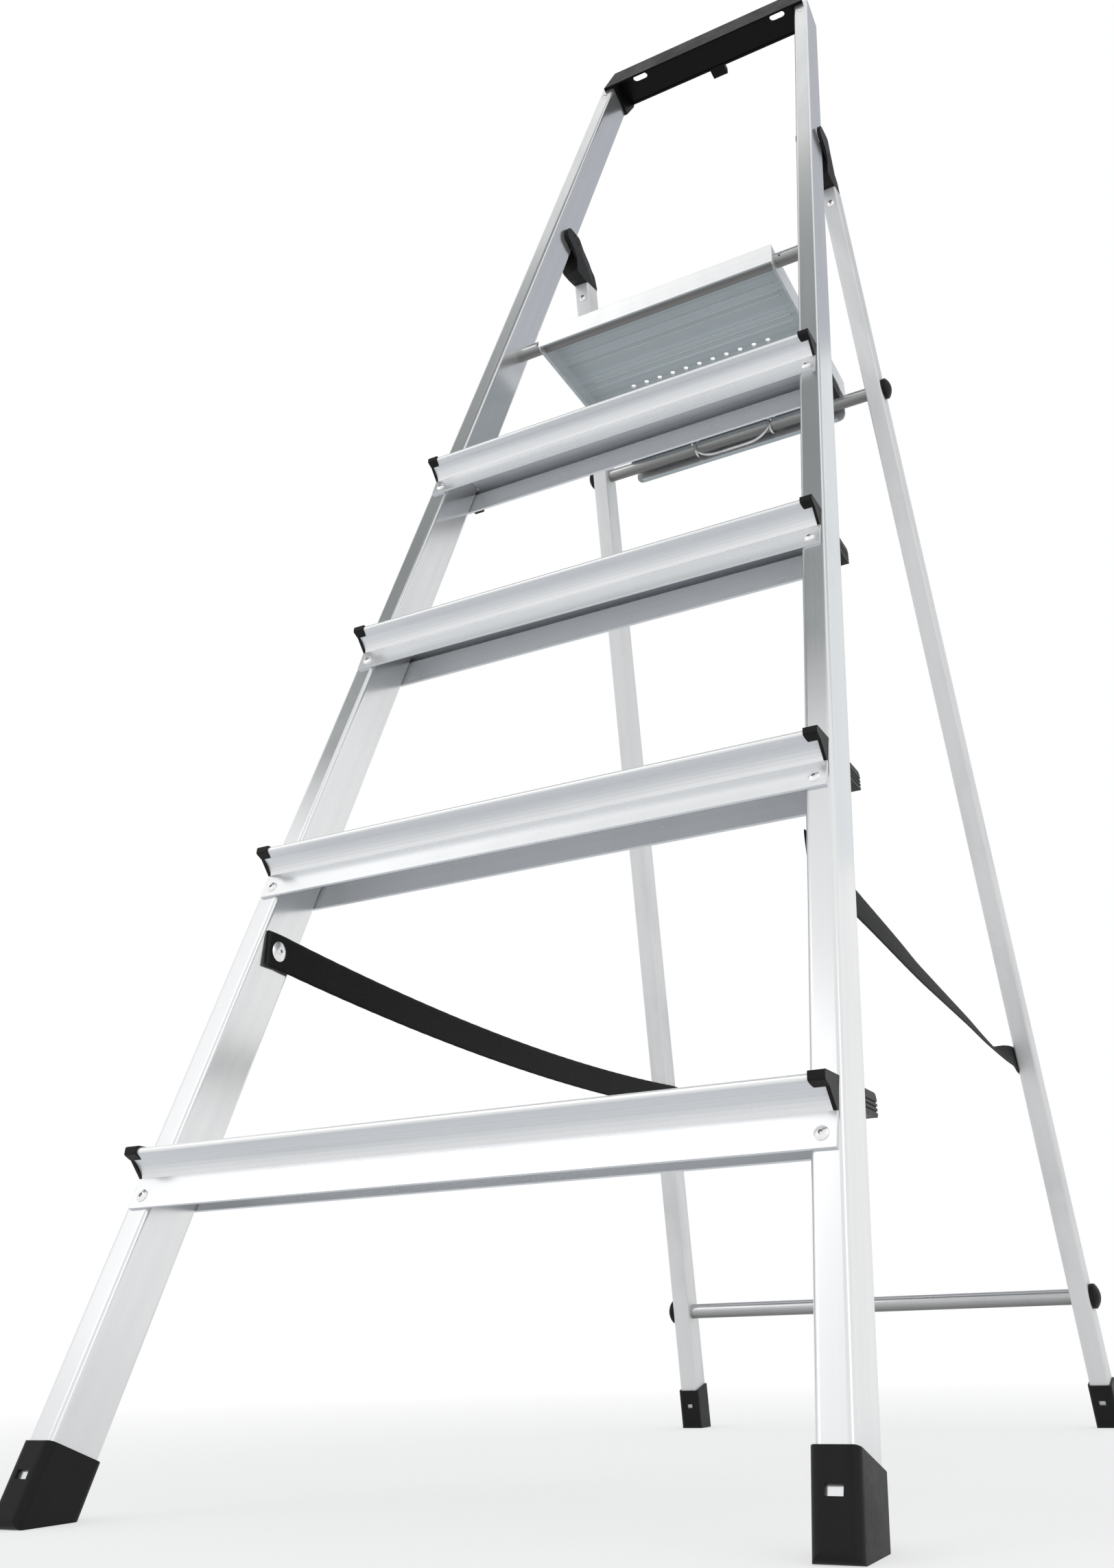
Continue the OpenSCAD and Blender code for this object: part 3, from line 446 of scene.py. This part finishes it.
def band_faces(rows, columns):
    """Faces of a closed band whose rows each hold the outer skin's vertices, then the inner's."""
    faces = []
    skin = columns + 1
    for i in range(rows):
        a, b = i * 2 * skin, (i + 1) * 2 * skin
        for j in range(columns):
            faces.append((a + j, a + j + 1, b + j + 1, b + j))
            m = skin + j
            faces.append((a + m + 1, a + m, b + m, b + m + 1))
        for j in (0, columns):
            pair = (a + j, a + skin + j, b + skin + j, b + j)
            faces.append(pair if j else pair[::-1])
    for i in (0, rows):
        a = i * 2 * skin
        for j in range(columns):
            quad = (a + j, a + j + 1, a + skin + 1 + j, a + skin + j)
            faces.append(quad[::-1] if i else quad)
    return faces


def strap(name, side, twist, droop):
    """One webbing strap: a closed band on a line that hangs by droop(k) and is turned by twist(k).

    k is the share of the run from the front rivet, at 0, to the rear one.
    """
    low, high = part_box(name)
    x_far, x_near = (low[0], high[0]) if side < 0 else (high[0], low[0])
    run = strap_rear_at.y - strap_front_at.y
    rise = strap_rear_at.z - strap_front_at.z
    slope = (abs(x_near) - abs(x_far) + STRAP_THICK) / (run + 2 * STRAP_TAIL)
    x_front = abs(x_far) - STRAP_TAIL * abs(slope) - STRAP_THICK / 2
    vertices, uvs = [], []
    length = 0.0
    last = None
    for i in range(STRAP_ROWS + 1):
        y = -STRAP_TAIL + (run + 2 * STRAP_TAIL) * i / STRAP_ROWS
        k = y / run
        centre = Vector((side * (x_front + slope * y), strap_front_at.y + y,
                         strap_front_at.z + rise * k - droop(k)))
        if last is not None:
            length += (centre - last).length
        last = centre
        turn = twist(k)
        up = Vector((side * math.sin(turn), 0, math.cos(turn)))
        out = Vector((side * math.cos(turn), 0, -math.sin(turn)))
        width = STRAP_WIDTH + FRAY * math.sin(i * FRAY_STEP)
        bow = CUP_DEPTH * math.sin(math.pi * unit_clamped(k))
        for face in (1, -1):
            for j in range(STRAP_COLUMNS + 1):
                v = j / STRAP_COLUMNS - 0.5
                selvedge = 1 - SELVEDGE_THINNING * abs(2 * v) ** 10
                cup = bow * math.sin(math.pi * (v + 0.5))
                vertices.append(centre + up * v * width
                                + out * (face * STRAP_THICK / 2 * selvedge + cup))
                uvs.append((length, v * STRAP_WIDTH))
    piece = mesh_object(name + "_webbing", vertices, band_faces(STRAP_ROWS, STRAP_COLUMNS),
                        webbing_look, uvs=uvs)
    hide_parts(name)
    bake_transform(piece)


def calm(k):
    return CALM_TURN * math.sin(math.pi * unit_clamped(k))


def even_droop(k):
    return 4 * STRAP_SAG * k * (1 - k) if 0 < k < 1 else 0.0


def along_keys(keys, k):
    """The value at k of a line through keys, softened over a short stretch to both sides."""
    shifts = (-0.03, -0.02, -0.01, 0, 0.01, 0.02, 0.03)
    total = 0.0
    for shift in shifts:
        at = min(keys[-1][0], max(keys[0][0], k + shift))
        for (a, low), (b, high) in zip(keys, keys[1:]):
            if a <= at <= b:
                total += low + (high - low) * (at - a) / (b - a)
                break
    return total / len(shifts)


def twisted(k):
    """The band leans over slowly, goes edge-on near the leg and snaps flat at its rivet."""
    degrees = [(0, 2), (0.16, 11), (0.3, 14.5), (0.36, 17), (0.4, 20.5), (0.6, 27), (0.7, 28.5),
               (0.8, 36), (0.86, 44), (0.9, 38), (0.95, 12), (1, 0)]
    return -math.radians(along_keys(degrees, k))


def pulled_droop(k):
    millimetres = [(0, 0), (0.2, 4.1), (0.4, 8.5), (0.6, 9.2), (0.8, 11.2), (0.86, 12.2),
                   (0.95, 3), (1, 0)]
    return 0.001 * along_keys(millimetres, k)


strap("strap_left", -1, calm, even_droop)
strap("strap_right", 1, twisted, pulled_droop)


# ---------------------------------------------------------------- wire latch

WIRE_R = 0.0015
WIRE_SIDES = 14
RING_INSET = 0.0017
RING_HALF = 0.0016  # half of a ring's advance along the tube over its one turn
RING_STEPS = 28
BOW_STEPS = 7
# The right half of the bow, from its ring to the middle: how far inward from the ring's middle,
# and the share of the bow's drop
BENDS = [(0.0016, 0.0), (0.0026, -0.38), (0.0084, -0.7), (0.0148, -0.88), (0.022, -0.975),
         (0.031, -1.0)]
latch_pivot = Vector(joints["latch_swing"]["pos_m"])


def latch():
    """Two rings round the upper rear tube, joined by a bow that hangs in front of it."""
    low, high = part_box("wire_latch")
    ring_x = high[0] - RING_INSET
    bow_y = low[1] - latch_pivot.y + WIRE_R
    drop = latch_pivot.z - low[2] - WIRE_R
    ring = []
    for i in range(RING_STEPS + 1):
        a = 2 * math.pi * i / RING_STEPS
        ring.append(Vector((ring_x + RING_HALF - 2 * RING_HALF * i / RING_STEPS,
                            latch_pivot.y + bow_y * math.cos(a),
                            latch_pivot.z - bow_y * math.sin(a))))
    bends = [(ring_x - inward, share) for inward, share in BENDS] + [(0.0, -1.0)]
    bow = smooth_path([Vector((x, latch_pivot.y + bow_y, latch_pivot.z + drop * share))
                       for x, share in bends], BOW_STEPS)
    right = ring + bow[1:]
    left = [Vector((-p.x, p.y, p.z)) for p in reversed(right[:-1])]
    vertices, faces = swept_round(right + left, WIRE_R, WIRE_SIDES)
    piece = mesh_object("wire_latch_bow", vertices, faces, wire_look)
    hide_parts("wire_latch")
    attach(piece, "latch")


latch()

# ---------------------------------------------------------------- floor and background


def stage_plane(name, size, place, look, aim=None):
    half_x, half_y = size[0] / 2, size[1] / 2
    corners = [Vector((-half_x, -half_y, 0)), Vector((half_x, -half_y, 0)),
               Vector((half_x, half_y, 0)), Vector((-half_x, half_y, 0))]
    turn = aim.to_track_quat("Z", "Y").to_matrix() if aim else Matrix.Identity(3)
    thing = mesh_object(name, [turn @ c + Vector(place) for c in corners], [(0, 1, 2, 3)], look,
                        smooth=False)
    return thing


def floor_paint():
    """Pale paint that shows shadows near the part and fades into the white background."""
    near, far = 0.4, 1.8
    look = Look("floor_paint")
    grain = look.noise(look.place((3, 3, 3)), detail=3.0, rough=0.5)
    look.set(Base_Color=look.blend(grain, grey(0.93), grey(0.95)), Roughness=0.9,
             Specular_IOR_Level=0.1)
    distance = look.add("ShaderNodeVectorMath", operation="LENGTH")
    look.join(look.place(), distance.inputs[0])
    fade = look.spread(distance.outputs["Value"], near, far, 0.55, 1.0)
    glow = look.add("ShaderNodeEmission")
    look.show(look.mix_shaders(look.maths("MULTIPLY", fade, look.background_rays()),
                               look.shader.outputs["BSDF"], glow.outputs[0]))
    return look.material


stage_plane("floor", (60, 60), (0, 0, 0), floor_paint())

world = bpy.data.worlds.new("studio")
bpy.context.scene.world = world
world.use_nodes = True
sky = Tree(world.node_tree)


def sky_light(colour, strength):
    node = sky.add("ShaderNodeBackground")
    node.inputs["Color"].default_value = colour
    node.inputs["Strength"].default_value = strength
    return node.outputs[0]


ambient = sky_light((0.97, 0.99, 1.0, 1), 0.7)
white = sky_light((1, 1, 1, 1), 1.0)
sky.join(sky.mix_shaders(sky.background_rays(), ambient, white),
         sky.add("ShaderNodeOutputWorld").inputs["Surface"])

# ---------------------------------------------------------------- light


def softbox(name, place, target, size, power, mirrored=True):
    """A soft lamp aimed at target. Where it isn't mirrored, metal and gloss don't show it."""
    light = bpy.data.lights.new(name, "AREA")
    light.shape = "RECTANGLE"
    light.size, light.size_y = size
    light.energy = power
    thing = bpy.data.objects.new(name, light)
    bpy.context.scene.collection.objects.link(thing)
    thing.location = place
    thing.rotation_mode = "QUATERNION"
    thing.rotation_quaternion = (Vector(target) - Vector(place)).to_track_quat("-Z", "Y")
    thing.visible_camera = False
    thing.visible_glossy = mirrored


def card(name, place, target, size, tone):
    """A card outside the picture that the metal mirrors. It lights and shades nothing."""
    look = Look(name + "_card", "ShaderNodeEmission")
    look.set(Color=tone)
    thing = stage_plane(name, size, place, look.material, Vector(target) - Vector(place))
    thing.visible_camera = False
    thing.visible_diffuse = False
    thing.visible_shadow = False
    thing.visible_transmission = False


softbox("key", (-2.6, -3.4, 3.4), target=(0, 0, 0.8), size=(2.4, 2.4), power=17)
softbox("fill", (3.4, -1.6, 2.2), target=(0, 0, 0.8), size=(2.4, 2.4), power=9)
softbox("rim", (0.5, 3.6, 2.8), target=(0, 0, 0.9), size=(2.4, 2.0), power=9, mirrored=False)

# A dark strip over the treads, a grey ceiling behind, and a pale card in the rim lamp's place
card("flag_front", (-1.0, -0.95, 4.0), target=(-1.0, -0.95, 0), size=(4.4, 1.7),
     tone=grey(0.22, (0.93, 1.0, 0.99)))
card("flag_back", (0, 4.0, 4.2), target=(0, 4.0, 0), size=(7, 6),
     tone=grey(0.5, (0.93, 0.97, 1.06)))
card("flag_rear", (0.5, 3.6, 2.8), target=(0, 0, 0.9), size=(2.4, 2.0),
     tone=grey(0.86, (0.96, 1.0, 1.02)))

# ---------------------------------------------------------------- camera

CAMERA_AT = (0.41733, -1.00358, 0.07936)
CAMERA_YAW = math.radians(25.785)
CAMERA_PITCH = math.radians(23.542)
CAMERA_ROLL = math.radians(-1.5616)

camera_data = bpy.data.cameras.new("camera")
camera = bpy.data.objects.new("camera", camera_data)
bpy.context.scene.collection.objects.link(camera)
bpy.context.scene.camera = camera
camera_data.sensor_width = 36
camera_data.lens = 30.68
camera_data.shift_x = -0.0424
camera_data.shift_y = -0.0127
camera_data.clip_start = 0.02
camera_data.clip_end = 100
ahead = Vector((-math.sin(CAMERA_YAW) * math.cos(CAMERA_PITCH),
                math.cos(CAMERA_YAW) * math.cos(CAMERA_PITCH), math.sin(CAMERA_PITCH)))
level = Vector((math.cos(CAMERA_YAW), math.sin(CAMERA_YAW), 0))
above = level.cross(ahead)
right = level * math.cos(CAMERA_ROLL) + above * math.sin(CAMERA_ROLL)
upward = above * math.cos(CAMERA_ROLL) - level * math.sin(CAMERA_ROLL)
turned = Matrix((right, upward, -ahead)).transposed().to_4x4()
camera.matrix_world = Matrix.Translation(CAMERA_AT) @ turned

bpy.context.scene.view_settings.view_transform = "Standard"
